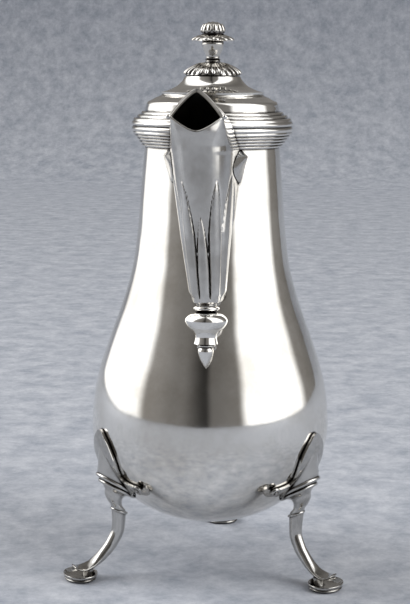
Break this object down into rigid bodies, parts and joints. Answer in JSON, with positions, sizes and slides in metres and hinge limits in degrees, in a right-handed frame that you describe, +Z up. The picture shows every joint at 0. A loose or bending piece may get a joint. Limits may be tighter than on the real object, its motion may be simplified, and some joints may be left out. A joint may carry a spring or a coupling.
{
  "type": "chocolate pot",
  "caption": "Pear-shaped silver pot on curled legs, with a long fluted beak, a turned drop, a reeded collar, a stepped hinged lid, a swivelling finial over a stirrer hole and a wooden handle.",
  "frame": {"origin": "on the table, under the middle of the overall box from the beak's lip to the handle's outermost point; the pot's axis stands at y = -0.020", "axes": "+Z up through the finial, -Y the way the beak pours, +Y the handle's side, +X the pot's right-hand side seen from the beak"},
  "size_m": [0.1295, 0.1602, 0.2553],
  "materials": {
    "silver": "polished silver with fine scratches and darkened recesses",
    "wood": "dark polished hardwood"
  },
  "bodies": {
    "pot": {"body": "silver", "collar": "silver", "spout": "silver", "spout_drop": "silver", "shield_rear": "silver", "shield_left": "silver", "shield_right": "silver", "leg_rear": "silver", "leg_left": "silver", "leg_right": "silver", "foot_rear": "silver", "foot_left": "silver", "foot_right": "silver", "socket_upper": "silver", "socket_lower": "silver", "socket_pin_upper": "silver", "socket_pin_lower": "silver", "handle": "wood", "hinge_body_leaf": "silver", "hinge_pin": "silver"},
    "lid": {"lid": "silver", "lid_rim": "silver", "lid_bezel": "silver", "stirrer_bush": "silver", "swivel_boss": "silver", "swivel_rivet": "silver", "hinge_lid_leaf": "silver", "thumbpiece": "silver"},
    "finial": {"finial_plate": "silver", "finial_cap": "silver", "finial_baluster": "silver", "finial_calyx": "silver", "finial_bud": "silver", "finial_rod": "silver"}
  },
  "joints": [
    {"name": "lid_hinge", "type": "hinge", "parent": "pot", "child": "lid", "pos_m": [0, 0.0209, 0.2081], "axis": [-1, 0, 0], "range_deg": [0, 95]},
    {"name": "finial_swivel", "type": "hinge", "parent": "lid", "child": "finial", "pos_m": [0, -0.0035, 0.2309], "axis": [0, 0, 1], "range_deg": [0, 100]}
  ]
}
